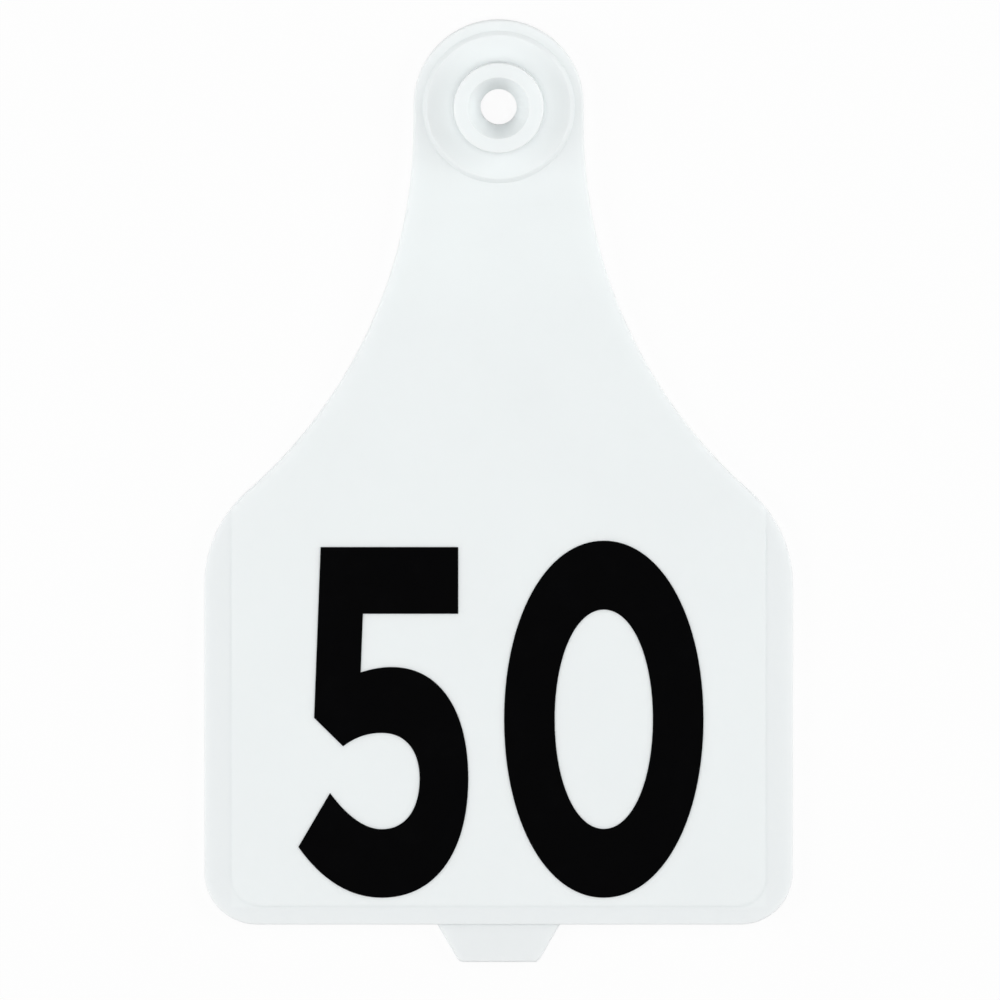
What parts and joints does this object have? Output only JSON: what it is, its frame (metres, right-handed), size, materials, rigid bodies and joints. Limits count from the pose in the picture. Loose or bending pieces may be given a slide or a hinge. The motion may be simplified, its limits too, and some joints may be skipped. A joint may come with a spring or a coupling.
{
  "type": "livestock ear tag",
  "caption": "Large flag-shaped livestock ear tag: flexible white panel with a round stud hub at its head and a black printed number.",
  "frame": {"origin": "on the axis of the stud hole, in the plane of the flat back face", "axes": "+Z out of the printed front, +Y from the panel up to the head, +X to the right seen from the front"},
  "size_m": [0.0762, 0.1222, 0.0052],
  "materials": {
    "tag_plastic": "white flexible polyurethane, satin moulded surface",
    "marking_ink": "black marking ink, satin"
  },
  "bodies": {
    "root": {"ear_tag": "tag_plastic", "number_print": "marking_ink"}
  },
  "joints": []
}
